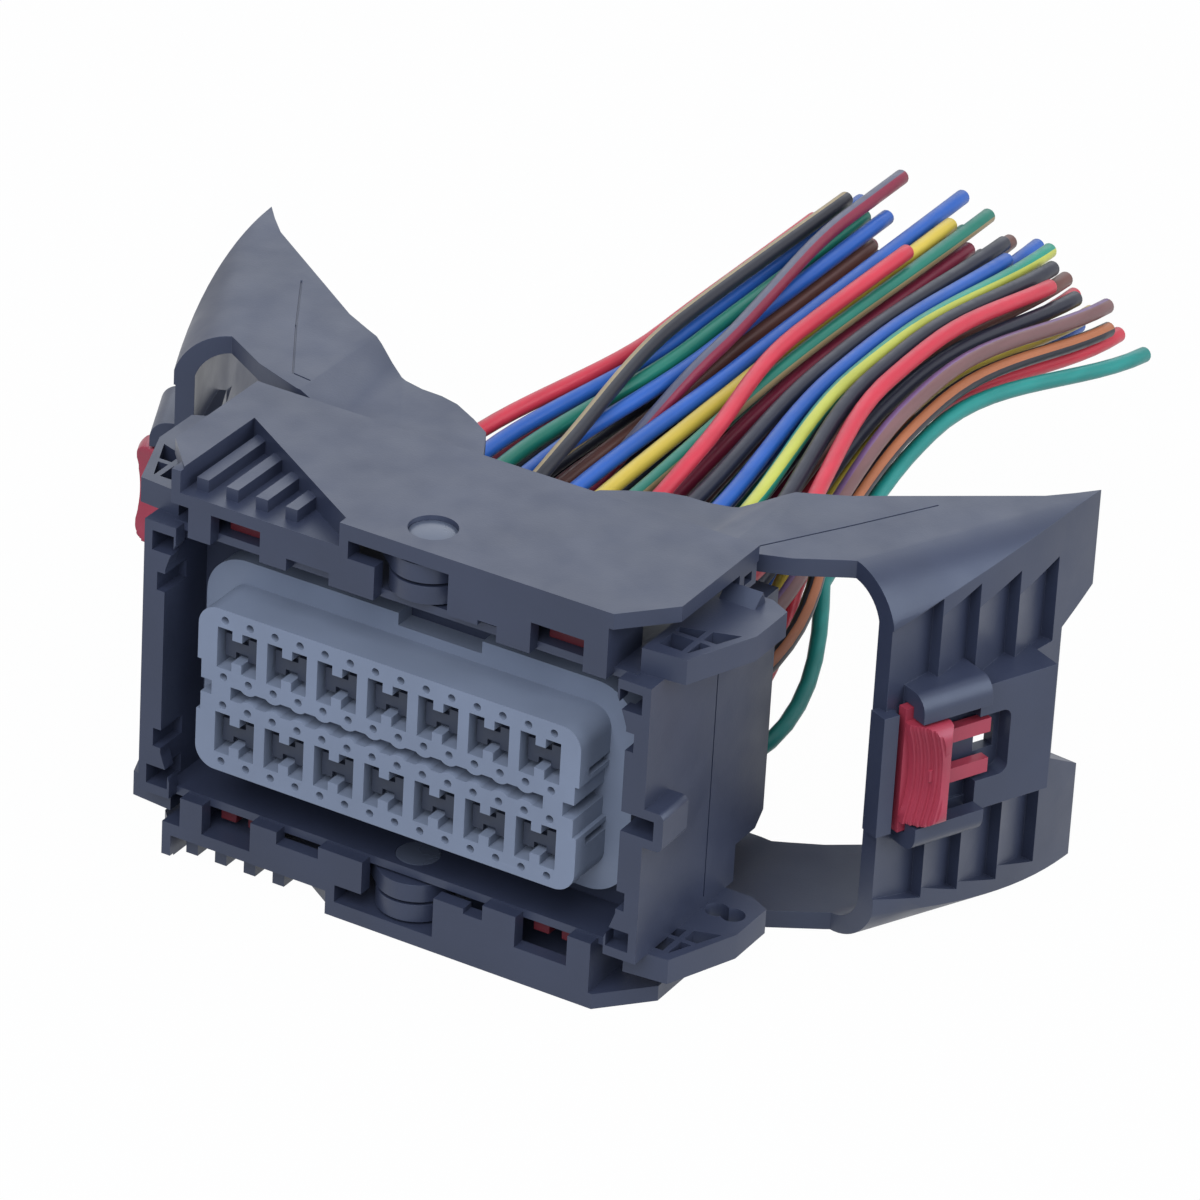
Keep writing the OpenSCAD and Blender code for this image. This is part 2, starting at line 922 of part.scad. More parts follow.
module lever(hub_x) {
  difference() {
    union() {
      difference() {
        wing_shell(hub_x);
        grip_steps();
        rear_cut();
      }
      both_z()
        intersection() {
          arm_level();
          along_z(arm_z - 1, lever_top + 1)
            arm_outline(hub_x);
        }
      latch_frame()
        latch_housing();
    }
    latch_frame()
      latch_pocket();
    lever_seam();
    translate([hub_x, pivot_y, -lever_top - 1])
      cylinder(r = pin_d / 2 + pin_gap, h = 2 * lever_top + 2);
  }
}

module lever_left() {
  color(plastic_black)
    place()
      rotate([0, 180, 0])
        translate([0, 0, -lever_shift])
          lever(-pivot_x);
}

module lever_right() {
  color(plastic_black)
    place()
      translate([0, 0, -lever_shift])
        lever(pivot_x);
}

// Latch: a plate in the rails with a sloped, dished finger pad and two legs
latch_front = -1.5;
latch_rear = 2.8;
pad_h = 4.9;
pad_front = -1.5;
pad_rear = 2.3;
pad_ridge = 0.9;
leg_rear = 7.9;
leg_in = 1.3;
leg_out = 2.7;
pad_round = 1.3;
pad_root = 0.9;
dish_r = 14.0;
dish_depth = 0.75;
dish_out = 0.35;
pad_ridges = 5;
pad_ridge_share = 0.6;
pad_groove_depth = 0.3;
pad_patch = 0.55;

module latch_plate() {
  side = latch_window + latch_hold;
  along_x(latch_set - latch_t / 2, latch_set + latch_t / 2) {
    span(latch_front, latch_rear, -side, side);
    for (z = [0, 1])
      mirror([0, z])
        span(latch_rear - 0.1, leg_rear, leg_in, leg_out);
  }
}

// Outline of the pad from the front, with its outer corners rounded
module pad_face(x1) {
  span(-1, x1 - pad_round, -pad_h, pad_h);
  span(-1, x1, -pad_h + pad_round, pad_h - pad_round);
  for (z = [-1, 1])
    translate([x1 - pad_round, z * (pad_h - pad_round)])
      circle(pad_round);
}

// Section of the pad along the wall, its front hollowed for a finger
module pad_section(front) {
  difference() {
    span(front, pad_rear, -pad_h, pad_h);
    translate([front + dish_depth - dish_r, 0])
      circle(dish_r, $fn = 96);
  }
}

module pad_ridges(x1) {
  step = (x1 - pad_root) / pad_ridges;
  rise = (pad_ridge - 0.4 - pad_front) / pad_ridges;
  along_x(0, pad_root)
    pad_section(pad_front);
  for (k = [0 : pad_ridges - 1]) {
    x = pad_root + k * step;
    front = pad_front + k * rise;
    along_x(x - 0.05, x + pad_ridge_share * step)
      pad_section(front);
    along_x(x + pad_ridge_share * step - 0.05, x + step)
      pad_section(front + pad_groove_depth);
  }
  along_x(pad_root + step, pad_root + 3 * step)
    span(pad_front + dish_depth + 2 * rise, pad_rear, -pad_patch, pad_patch);
}

module finger_pad() {
  x1 = latch_t / 2 + pad_t;
  difference() {
    intersection() {
      pad_ridges(x1);
      along_y(pad_front - 1, pad_rear + 1)
        pad_face(x1);
      along_z(-pad_h, pad_h)
        polygon([
          [-1, pad_front - 1], [x1 + 1, pad_front - 1], [x1, pad_ridge + 0.5],
          [x1 - 0.7, pad_ridge + 1.1], [pad_root, pad_rear], [-1, pad_rear]
        ]);
    }
    translate([x1 - dish_out + dish_r, pad_rear + 1, 0])
      rotate([90, 0, 0])
        cylinder(r = dish_r, h = pad_rear - pad_front + 2, $fn = 96);
  }
}

module latch() {
  latch_frame() {
    latch_plate();
    translate([latch_set, 0, 0])
      finger_pad();
  }
}

module latch_left() {
  color(plastic_red)
    place()
      rotate([0, 180, 0])
        translate([0, 0, -lever_shift])
          latch();
}

module latch_right() {
  color(plastic_red)
    place()
      translate([0, 0, -lever_shift])
        latch();
}

// Wires: straight out of the retainer, drawn together at mid-length, then fanned to the ends
wire_rings = 14;
wire_sides = 8;
wire_straight = 19;
wire_mid = 74;
wire_far = 105;
layer_mid = [8.2, 6.2, 4.2, 2.2];
layer_end = [8.0, 6.1, 4.2, 2.3];
mid_tilt = 0.16;
left_gather = 0.28;
row_gather = [0.28, 0.15, 0.12, 0.10];
end_spread = 0.04;
row_bulge = [0.4, 1.4, 2.8, 4.4];
row_sag = [0, 0, 0.6, 1.6];
row_splay = [0, 2.0, 2.4, 5.6];
crown_centre = -3;
crown_rate = 0.003;
// Wires that climb over others: row, column, lift, its start and end, sideways shift, its start and end
hops = [
  [0, 4, 1.9, 24, 40, -5.4, 34, 66],
  [1, 4, 3.9, 42, 64, -3.2, 62, 94],
  [0, 8, 1.9, 30, 48, -2.6, 44, 70]
];
no_hop = [0, 0, 0, 0, 1, 0, 0, 1];
// End of each wire beyond or short of the common length, column by column
end_shift = [
  [-9, -3, -6, -5, -7, 3, -3, 1, -14, -3, -6, -1, -4, -8],
  [-12, -6, -4, -8, 0, -2, 0, -3, 1, 2, -3, -2, -5, -4],
  [-11, -9, -4, -6, -3, -1, -4, 0, -2, 1, -4, -1, -3, -5],
  [-12, -8, -10, -5, -3, -6, -1, -4, 0, -2, -5, -3, -2, -4]
];
wire_names = [
  "red", "blue", "green", "yellow", "black", "brown", "maroon", "teal",
  "green_yellow", "black_tan", "black_orange", "brown_violet"
];
wire_tints = [
  [0.80, 0.12, 0.16], [0.10, 0.28, 0.70], [0.08, 0.42, 0.32], [0.86, 0.74, 0.16],
  [0.09, 0.10, 0.13], [0.36, 0.20, 0.16], [0.44, 0.08, 0.16], [0.10, 0.48, 0.46],
  [0.20, 0.62, 0.50], [0.12, 0.11, 0.12], [0.13, 0.11, 0.12], [0.42, 0.28, 0.26]
];
// Colour of each wire, row by row from the top, column by column from the left
wire_colour = [
  [0, 1, 2, 1, 9, 1, 3, 2, 0, 4, 1, 8, 4, 0],
  [6, 4, 9, 5, 6, 4, 2, 6, 5, 1, 4, 5, 4, 11],
  [1, 2, 6, 4, 0, 3, 5, 4, 7, 2, 6, 0, 3, 10],
  [4, 5, 0, 1, 2, 6, 4, 8, 10, 3, 2, 1, 0, 7]
];

function clamp01(t) = min(1, max(0, t));
function smooth(t) = let (c = clamp01(t)) c * c * (3 - 2 * c);
function ramp(y, y0, y1) = smooth((y - y0) / (y1 - y0));
function hump_at(y, y0, y1) = sin(180 * clamp01((y - y0) / (y1 - y0)));
function column_x(column) = column * contact_pitch - grid_w / 2;
function hop_of(row, column) =
  let (found = [for (hop = hops) if (hop[0] == row && hop[1] == column) hop])
  len(found) > 0 ? found[0] : no_hop;

function wire_x(row, column, y) =
  let (
    x0 = column_x(column), side = max(2 * x0 / grid_w, 0), hop = hop_of(row, column),
    gather = x0 < 0 ? left_gather : row_gather[row]
  )
  x0 * (1 - gather * ramp(y, 38, 66) + end_spread * ramp(y, 76, wire_far))
  + row_bulge[row] * pow(side, 3) * hump_at(y, wire_straight, 48)
  + row_splay[row] * side * side * ramp(y, 70, wire_far)
  + hop[5] * ramp(y, hop[6], hop[7]);

function wire_z(row, column, y) =
  let (
    hop = hop_of(row, column), z0 = row_z[row] - block_drop,
    x0 = column_x(column) + hop[5] / (1 - left_gather),
    mid = layer_mid[row] + mid_tilt * max(x0, 0),
    end = layer_end[row] - crown_rate * pow(x0 - crown_centre, 2)
  )
  z0 + (mid - z0) * ramp(y, wire_straight, wire_mid)
  + (end - mid) * ramp(y, wire_mid, wire_far)
  - row_sag[row] * hump_at(y, wire_straight, 46)
  + hop[2] * ramp(y, hop[3], hop[4]);

function wire_y(row, column, ring) =
  let (last = wire_far + end_shift[row][column])
  ring == 0 ? contact_back
  : wire_straight + (last - wire_straight) * (ring - 1) / (wire_rings - 2);

function wire_point(row, column, ring) =
  let (y = wire_y(row, column, ring))
  [wire_x(row, column, y), y, wire_z(row, column, y)];

function unit(v) = v / norm(v);

function wire_direction(path, ring) =
  ring == 0 ? [0, 1, 0]
  : ring == len(path) - 1 ? unit(path[ring] - path[ring - 1])
  : unit(path[ring + 1] - path[ring - 1]);

function wire_ring(centre, direction) =
  let (side = unit(cross(direction, [0, 0, 1])), up = cross(side, direction))
  [for (k = [0 : wire_sides - 1])
    centre + wire_d / 2 * (cos(360 * k / wire_sides) * side + sin(360 * k / wire_sides) * up)];

module tube(path) {
  n = wire_sides;
  last = len(path) - 1;
  points = [for (ring = [0 : last]) each wire_ring(path[ring], wire_direction(path, ring))];
  start_cap = [for (k = [0 : n - 1]) k];
  end_cap = [for (k = [n - 1 : -1 : 0]) last * n + k];
  skin = [for (ring = [0 : last - 1], k = [0 : n - 1], half = [0, 1])
    let (a = ring * n + k, b = ring * n + (k + 1) % n)
    half == 0 ? [a, a + n, b] : [b, a + n, b + n]];
  polyhedron(points, concat([start_cap, end_cap], skin));
}

module wires(colour) {
  color(wire_tints[colour])
    place()
      for (row = [0 : 3], column = [0 : contact_columns - 1])
        if (wire_colour[row][column] == colour)
          tube([for (ring = [0 : wire_rings - 1]) wire_point(row, column, ring)]);
}

outer_frame();
socket_block();
rear_retainer();
for (row = [0 : 3])
  contacts_row(row);
lever_left();
lever_right();
latch_left();
latch_right();
upper_pivot_pin();
lower_pivot_pin();
lever_interlocks();
for (colour = [0 : len(wire_names) - 1])
  wires(colour);
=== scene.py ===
"""Looks of a lever-locked engine control unit connector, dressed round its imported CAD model."""

import math

import bpy
from mathutils import Matrix, Vector


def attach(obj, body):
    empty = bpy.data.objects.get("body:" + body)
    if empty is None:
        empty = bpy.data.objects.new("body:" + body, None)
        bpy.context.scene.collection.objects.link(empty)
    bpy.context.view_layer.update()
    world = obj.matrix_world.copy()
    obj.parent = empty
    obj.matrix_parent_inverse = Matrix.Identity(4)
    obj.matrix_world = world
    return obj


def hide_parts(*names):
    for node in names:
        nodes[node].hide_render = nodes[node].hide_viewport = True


MM = 0.001

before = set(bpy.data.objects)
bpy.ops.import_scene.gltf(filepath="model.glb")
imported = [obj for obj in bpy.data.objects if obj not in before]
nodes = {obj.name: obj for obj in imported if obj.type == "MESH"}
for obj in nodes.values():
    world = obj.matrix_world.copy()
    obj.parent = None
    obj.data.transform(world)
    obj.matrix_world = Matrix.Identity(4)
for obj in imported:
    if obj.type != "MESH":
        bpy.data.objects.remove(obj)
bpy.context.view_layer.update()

# Camera: angle, roll and place found from the photograph's perspective
CAMERA_AZIMUTH = 29.10
CAMERA_ELEVATION = 29.15
CAMERA_ROLL = 3.30
CAMERA_PLACE = (0.30362, -0.51851, 0.36507)
CAMERA_LENS = 240.8
CAMERA_SENSOR = 36.0
CAMERA_NEAR = 0.01


def add_camera():
    azimuth, elevation, roll = (
        math.radians(a) for a in (CAMERA_AZIMUTH, CAMERA_ELEVATION, CAMERA_ROLL)
    )
    right = Vector((math.cos(azimuth), math.sin(azimuth), 0))
    back = Vector((
        math.sin(azimuth) * math.cos(elevation),
        -math.cos(azimuth) * math.cos(elevation),
        math.sin(elevation),
    ))
    up = back.cross(right)
    side = math.cos(roll) * right + math.sin(roll) * up
    top = math.cos(roll) * up - math.sin(roll) * right
    data = bpy.data.cameras.new("camera")
    data.lens = CAMERA_LENS
    data.sensor_width = CAMERA_SENSOR
    data.clip_start = CAMERA_NEAR
    camera = bpy.data.objects.new("camera", data)
    turn = Matrix((side, top, back)).transposed().to_4x4()
    camera.matrix_world = Matrix.Translation(CAMERA_PLACE) @ turn
    bpy.context.scene.collection.objects.link(camera)
    bpy.context.scene.camera = camera


# Materials: the span of noise that is put to use, the tint of plastic's gloss and the gloss of wires
NOISE_LOW = 0.3
NOISE_HIGH = 0.7
GLOSS_TINT = (0.78, 0.87, 1, 1)
WIRE_GLOSS = 0.3


def new_material(name):
    material = bpy.data.materials.new(name)
    material.use_nodes = True
    tree = material.node_tree
    return material, tree, tree.nodes["Principled BSDF"]


def noise(tree, scale, detail=3.0, stretch=(1, 1, 1)):
    """Noise in the object's own coordinates, scale in cells a metre."""
    coords = tree.nodes.new("ShaderNodeTexCoord")
    mapping = tree.nodes.new("ShaderNodeMapping")
    mapping.inputs["Scale"].default_value = stretch
    texture = tree.nodes.new("ShaderNodeTexNoise")
    texture.inputs["Scale"].default_value = scale
    texture.inputs["Detail"].default_value = detail
    tree.links.new(coords.outputs["Object"], mapping.inputs["Vector"])
    tree.links.new(mapping.outputs["Vector"], texture.inputs["Vector"])
    return texture.outputs["Fac"]


def scaled(colour, factor):
    return tuple(min(1.0, c * factor) for c in colour)


def shaded(tree, factor, colour, low, high):
    """The colour times low to high, as the noise runs."""
    ramp = tree.nodes.new("ShaderNodeValToRGB")
    stops = [(NOISE_LOW, low), (NOISE_HIGH, high)]
    for element, (place, share) in zip(ramp.color_ramp.elements, stops):
        element.position = place
        element.color = (*scaled(colour, share), 1)
    tree.links.new(factor, ramp.inputs["Fac"])
    return ramp.outputs["Color"]


def mapped(tree, factor, low, high):
    """A value from low to high, as the noise runs."""
    node = tree.nodes.new("ShaderNodeMapRange")
    node.inputs["From Min"].default_value = NOISE_LOW
    node.inputs["From Max"].default_value = NOISE_HIGH
    node.inputs["To Min"].default_value = low
    node.inputs["To Max"].default_value = high
    tree.links.new(factor, node.inputs["Value"])
    return node.outputs["Result"]


def bump(tree, shader, height, strength, depth):
    node = tree.nodes.new("ShaderNodeBump")
    node.inputs["Strength"].default_value = strength
    node.inputs["Distance"].default_value = depth
    tree.links.new(height, node.inputs["Height"])
    tree.links.new(node.outputs["Normal"], shader.inputs["Normal"])


def moulded_plastic(name, colour, rough, spread=0.12, grain=0.25):
    """Injection-moulded plastic: faint flow blotches, uneven gloss and a fine spark-eroded grain."""
    material, tree, shader = new_material(name)
    shader.inputs["Specular Tint"].default_value = GLOSS_TINT
    blotches = shaded(tree, noise(tree, 90, 4), colour, 1 - spread, 1 + spread)
    gloss = mapped(tree, noise(tree, 260, 3), rough - 0.05, rough + 0.07)
    tree.links.new(blotches, shader.inputs["Base Color"])
    tree.links.new(gloss, shader.inputs["Roughness"])
    bump(tree, shader, noise(tree, 5200, 2), grain, 0.03 * MM)
    return material


def insulation(name, colour, rough=0.36):
    """Extruded wire insulation, drawn out along the wire."""
    material, tree, shader = new_material(name)
    shader.inputs["Specular IOR Level"].default_value = WIRE_GLOSS
    streaks = shaded(tree, noise(tree, 700, 3, (1, 0.12, 1)), colour, 0.88, 1.12)
    gloss = mapped(tree, noise(tree, 900, 2), rough - 0.04, rough + 0.08)
    tree.links.new(streaks, shader.inputs["Base Color"])
    tree.links.new(gloss, shader.inputs["Roughness"])
    bump(tree, shader, noise(tree, 2600, 2, (1, 0.3, 1)), 0.12, 0.02 * MM)
    return material


def plated_metal(name, colour, rough):
    """Tin plate or drawn copper, a little uneven in colour and gloss."""
    material, tree, shader = new_material(name)
    shader.inputs["Metallic"].default_value = 1.0
    tarnish = shaded(tree, noise(tree, 1500, 3), colour, 0.85, 1)
    gloss = mapped(tree, noise(tree, 2400, 2), rough - 0.06, rough + 0.1)
    tree.links.new(tarnish, shader.inputs["Base Color"])
    tree.links.new(gloss, shader.inputs["Roughness"])
    bump(tree, shader, noise(tree, 4000, 2), 0.1, 0.02 * MM)
    return material


HOUSING_BLACK = moulded_plastic("housing_black", (0.027, 0.032, 0.055), 0.40)
INSERT_GREY = moulded_plastic("insert_grey", (0.165, 0.188, 0.240), 0.46, 0.08, 0.2)
LATCH_RED = moulded_plastic("latch_red", (0.31, 0.032, 0.052), 0.40, 0.15, 0.2)
# The latch red, darkened about threefold as painted shade for the interlocks, which sit back in the
# frame's shadow
INTERLOCK_RED_PAINTED_SHADE = moulded_plastic("interlock_red_painted_shade", (0.10, 0.010, 0.014), 0.5, 0.15, 0.2)
RETAINER_BLACK = moulded_plastic("retainer_black", (0.020, 0.024, 0.038), 0.5, 0.1, 0.2)
PIN_GREY = moulded_plastic("pin_grey", (0.070, 0.080, 0.108), 0.28, 0.1, 0.15)
CONTACT_TIN = plated_metal("contact_tin", (0.55, 0.52, 0.46), 0.35)
COPPER = plated_metal("copper", (0.62, 0.30, 0.16), 0.38)

WIRE_COLOURS = {
    "red": (0.52, 0.035, 0.055),
    "blue": (0.020, 0.090, 0.34),
    "green": (0.012, 0.155, 0.105),
    "yellow": (0.56, 0.40, 0.055),
    "black": (0.016, 0.018, 0.030),
    "brown": (0.125, 0.052, 0.042),
    "maroon": (0.20, 0.018, 0.042),
    "teal": (0.014, 0.20, 0.17),
    "green_yellow": (0.025, 0.24, 0.16),
    "black_tan": (0.016, 0.017, 0.024),
    "black_orange": (0.018, 0.017, 0.024),
    "brown_violet": (0.16, 0.078, 0.075),
}
STRIPE_COLOURS = {
    "yellow": (0.46, 0.46, 0.08),
    "tan": (0.30, 0.22, 0.11),
    "orange": (0.36, 0.12, 0.05),
    "violet": (0.15, 0.08, 0.17),
    "grey": (0.09, 0.09, 0.13),
}
WIRES = {name: insulation("wire_" + name, colour) for name, colour in WIRE_COLOURS.items()}
STRIPES = {name: insulation("stripe_" + name, colour) for name, colour in STRIPE_COLOURS.items()}

# Wires: the CAD model's own rule, in millimetres
BASE_MID_Y = 9.25
COVER_H = 19.4
CONTACT_PITCH = 2.54
CONTACT_COLUMNS = 14
GRID_W = (CONTACT_COLUMNS - 1) * CONTACT_PITCH
ROW_Z = [7.0, 1.4, -1.4, -7.0]
BLOCK_DROP = 0.5
CONTACT_BACK = 12.4
WIRE_D = 1.5
# Places behind the frame's front at which the wires start or end a change of course
WIRE_STRAIGHT = 19
GATHER_START = 38
SAG_END = 46
BULGE_END = 48
GATHER_END = 66
SPLAY_START = 70
WIRE_MID = 74
SPREAD_START = 76
WIRE_FAR = 105
# How far they change it, for each row or for all
LAYER_MID = [8.2, 6.2, 4.2, 2.2]
LAYER_END = [8.0, 6.1, 4.2, 2.3]
MID_TILT = 0.16
LEFT_GATHER = 0.28
ROW_GATHER = [0.28, 0.15, 0.12, 0.10]
END_SPREAD = 0.04
ROW_BULGE = [0.4, 1.4, 2.8, 4.4]
ROW_SAG = [0, 0, 0.6, 1.6]
ROW_SPLAY = [0, 2.0, 2.4, 5.6]
CROWN_CENTRE = -3
CROWN_RATE = 0.003
# Wires that climb over others: lift, its start and end, sideways shift, its start and end
HOPS = {
    (0, 4): (1.9, 24, 40, -5.4, 34, 66),
    (1, 4): (3.9, 42, 64, -3.2, 62, 94),
    (0, 8): (1.9, 30, 48, -2.6, 44, 70),
}
NO_HOP = (0, 0, 1, 0, 0, 1)
# Cut ends against WIRE_FAR, for each row and column
END_SHIFT = [
    [-9, -3, -6, -5, -7, 3, -3, 1, -14, -3, -6, -1, -4, -8],
    [-12, -6, -4, -8, 0, -2, 0, -3, 1, 2, -3, -2, -5, -4],
    [-11, -9, -4, -6, -3, -1, -4, 0, -2, 1, -4, -1, -3, -5],
    [-12, -8, -10, -5, -3, -6, -1, -4, 0, -2, -5, -3, -2, -4],
]
# Each wire's place in the list of colours
WIRE_NAMES = list(WIRE_COLOURS)
WIRE_COLOUR = [
    [0, 1, 2, 1, 9, 1, 3, 2, 0, 4, 1, 8, 4, 0],
    [6, 4, 9, 5, 6, 4, 2, 6, 5, 1, 4, 5, 4, 11],
    [1, 2, 6, 4, 0, 3, 5, 4, 7, 2, 6, 0, 3, 10],
    [4, 5, 0, 1, 2, 6, 4, 8, 10, 3, 2, 1, 0, 7],
]
# Tracer stripes: colour, sides of the wire it covers, place round the wire and turn to the end, in degrees
STRIPED = {
    (0, 4): ("tan", 3, 130, -10),
    (0, 7): ("tan", 3, 20, -40),
    (0, 11): ("yellow", 4, 130, -140),
    (1, 4): ("grey", 5, 115, 10),
    (1, 2): ("tan", 3, 60, 60),
    (1, 13): ("violet", 3, 120, -10),
    (2, 13): ("orange", 3, 60, 0),
    (3, 7): ("yellow", 4, 60, 60),
    (3, 8): ("orange", 3, 60, -60),
}
NO_STRIPE = (None, 0, 0, 0)
# Wire meshes: steps along the wire, sides round it, core's radius, cut end's rounding and its middle share
WIRE_STEPS = 34
WIRE_SIDES = 16
CORE_R = 0.46
END_ROUND = 0.12
END_CORNER = 0.3


def smooth(t):
    c = min(1.0, max(0.0, t))
    return c * c * (3 - 2 * c)


def rise(y, y0, y1):
    return smooth((y - y0) / (y1 - y0))


def hump(y, y0, y1):
    return math.sin(math.pi * min(1.0, max(0.0, (y - y0) / (y1 - y0))))


def column_x(column):
    return column * CONTACT_PITCH - GRID_W / 2


def wire_x(row, column, y):
    x0 = column_x(column)
    side = max(2 * x0 / GRID_W, 0)
    gather = LEFT_GATHER if x0 < 0 else ROW_GATHER[row]
    shift, start, end = HOPS.get((row, column), NO_HOP)[3:]
    gathered = gather * rise(y, GATHER_START, GATHER_END)
    spread = END_SPREAD * rise(y, SPREAD_START, WIRE_FAR)
    return (
        x0 * (1 - gathered + spread)
        + ROW_BULGE[row] * side ** 3 * hump(y, WIRE_STRAIGHT, BULGE_END)
        + ROW_SPLAY[row] * side ** 2 * rise(y, SPLAY_START, WIRE_FAR)
        + shift * rise(y, start, end)
    )


def wire_z(row, column, y):
    lift, start, end, shift = HOPS.get((row, column), NO_HOP)[:4]
    x0 = column_x(column) + shift / (1 - LEFT_GATHER)
    base = ROW_Z[row] - BLOCK_DROP
    mid = LAYER_MID[row] + MID_TILT * max(x0, 0)
    far = LAYER_END[row] - CROWN_RATE * (x0 - CROWN_CENTRE) ** 2
    return (
        base
        + (mid - base) * rise(y, WIRE_STRAIGHT, WIRE_MID)
        + (far - mid) * rise(y, WIRE_MID, WIRE_FAR)
        - ROW_SAG[row] * hump(y, WIRE_STRAIGHT, SAG_END)
        + lift * rise(y, start, end)
    )


def wire_route(row, column):
    """Points of one wire in the row frame, in metres, from its contact to its cut end."""
    last = WIRE_FAR + END_SHIFT[row][column]
    stations = [CONTACT_BACK, (CONTACT_BACK + WIRE_STRAIGHT) / 2] + [
        WIRE_STRAIGHT + (last - WIRE_STRAIGHT) * step / WIRE_STEPS for step in range(WIRE_STEPS + 1)
    ]
    return [
        Vector((wire_x(row, column, y), y - BASE_MID_Y, wire_z(row, column, y) + COVER_H)) * MM
        for y in stations
    ]


def route_directions(route):
    directions = [(b - a).normalized() for a, b in zip(route, route[1:])]
    first, last = directions[0], directions[-1]
    inner = [(a + b).normalized() for a, b in zip(directions, directions[1:])]
    return [first, *inner, last]


def ring_points(centre, direction, radius, turn):
    """One ring of a wire, its first point the given number of degrees up from the right-hand side."""
    side = direction.cross(Vector((0, 0, 1))).normalized()
    up = side.cross(direction)
    angles = [math.radians(turn) + 2 * math.pi * k / WIRE_SIDES for k in range(WIRE_SIDES)]
    return [centre + radius * (math.cos(a) * side + math.sin(a) * up) for a in angles]


def wire_mesh(name, route, stripe):
    """Tube with a softly rounded cut end, a copper core in it and, if told, a tracer stripe."""
    sides, start, twist = stripe
    radius = WIRE_D / 2 * MM
    directions = route_directions(route)
    first_turn = start - 180 * sides / WIRE_SIDES
    turns = [first_turn + twist * k / (len(route) - 1) for k in range(len(route))]
    rings = [ring_points(p, d, radius, t) for p, d, t in zip(route, directions, turns)]
    end, out, turn = route[-1], directions[-1], turns[-1]
    soft = END_ROUND * MM
    corner = END_CORNER * soft
    rings[-1] = ring_points(end - soft * out, out, radius, turn)
    rings.append(ring_points(end - corner * out, out, radius - corner, turn))
    rings.append(ring_points(end, out, radius - soft, turn))
    rings.append(ring_points(end, out, CORE_R * MM, turn))
    points = [p for ring in rings for p in ring]
    faces = [list(range(WIRE_SIDES - 1, -1, -1))]
    kinds = [0]
    for ring in range(len(rings) - 1):
        for k in range(WIRE_SIDES):
            a, b = ring * WIRE_SIDES + k, ring * WIRE_SIDES + (k + 1) % WIRE_SIDES
            faces.append([a, b, b + WIRE_SIDES, a + WIRE_SIDES])
            kinds.append(1 if k < sides else 0)
    faces.append(list(range(len(points) - WIRE_SIDES, len(points))))
    kinds.append(2)
    mesh = bpy.data.meshes.new(name)
    mesh.from_pydata(points, [], faces)
    for polygon, kind in zip(mesh.polygons, kinds):
        polygon.material_index = kind
        polygon.use_smooth = len(polygon.vertices) == 4
    mesh.update()
    return mesh


def add_wire(row, column):
    colour = WIRE_NAMES[WIRE_COLOUR[row][column]]
    name = f"wire_{row + 1}_{column + 1}"
    route = wire_route(row, column)
    tracer, *stripe = STRIPED.get((row, column), NO_STRIPE)
    mesh = wire_mesh(name, route, stripe)
    for material in (WIRES[colour], STRIPES.get(tracer, WIRES[colour]), COPPER):
        mesh.materials.append(material)
    wire = bpy.data.objects.new(name, mesh)
    bpy.context.scene.collection.objects.link(wire)
    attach(wire, "housing")
    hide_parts("wires_" + colour)


# H-shaped face of the locking finger in each window, in millimetres: x from, x to, half of the height
WINDOW_Z = 4.2
FACE_Y = (0.9, 1.4)
FACE_BARS = [(-1.7, -0.62, 1.1), (0.62, 1.7, 1.1), (-0.62, 0.62, 0.5)]
BOX_FACES = [(0, 1, 3, 2), (4, 6, 7, 5), (0, 4, 5, 1), (2, 3, 7, 6), (0, 2, 6, 4), (1, 5, 7, 3)]


def add_finger_faces():
    points, faces = [], []
    for column in range(0, CONTACT_COLUMNS, 2):
        middle_x = column_x(column) + CONTACT_PITCH / 2
        for middle_z in (-WINDOW_Z, WINDOW_Z):
            for x0, x1, half in FACE_BARS:
                base = len(points)
                points += [
                    Vector((middle_x + x, y - BASE_MID_Y, middle_z + z - BLOCK_DROP + COVER_H)) * MM
                    for x in (x0, x1) for y in FACE_Y for z in (-half, half)
                ]
                faces += [[base + k for k in face] for face in BOX_FACES]
    mesh = bpy.data.meshes.new("finger_faces")
    mesh.from_pydata(points, [], faces)
    mesh.materials.append(RETAINER_BLACK)
    mesh.update()
    fingers = bpy.data.objects.new("finger_faces", mesh)
    bpy.context.scene.collection.objects.link(fingers)
    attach(fingers, "housing")


# CAD solids: their finish, and the rounding of their edges in millimetres and degrees
NODE_MATERIALS = {
    "outer_frame": HOUSING_BLACK,
    "socket_block": INSERT_GREY,
    "rear_retainer": RETAINER_BLACK,
    **{f"contacts_row_{row + 1}": CONTACT_TIN for row in range(len(ROW_Z))},
    "lever_left": HOUSING_BLACK,
    "lever_right": HOUSING_BLACK,
    "latch_left": LATCH_RED,
    "latch_right": LATCH_RED,
    "upper_pivot_pin": PIN_GREY,
    "lower_pivot_pin": PIN_GREY,
    # Painted shade: the interlocks get the latch red darkened for the shadow they sit in
    "lever_interlocks": INTERLOCK_RED_PAINTED_SHADE,
}
EDGE_ROUND = {
    "outer_frame": 0.16,
    "socket_block": 0.12,
    "lever_left": 0.18,
    "lever_right": 0.18,
    "latch_left": 0.12,
    "latch_right": 0.12,
    "upper_pivot_pin": 0.1,
    "lower_pivot_pin": 0.1,
    "lever_interlocks": 0.1,
}
WELD_REACH = 0.002
FLAT_ANGLE = 0.5
SHARP_ANGLE = 32
ROUND_STEPS = 2
FACE_WEIGHT = 100


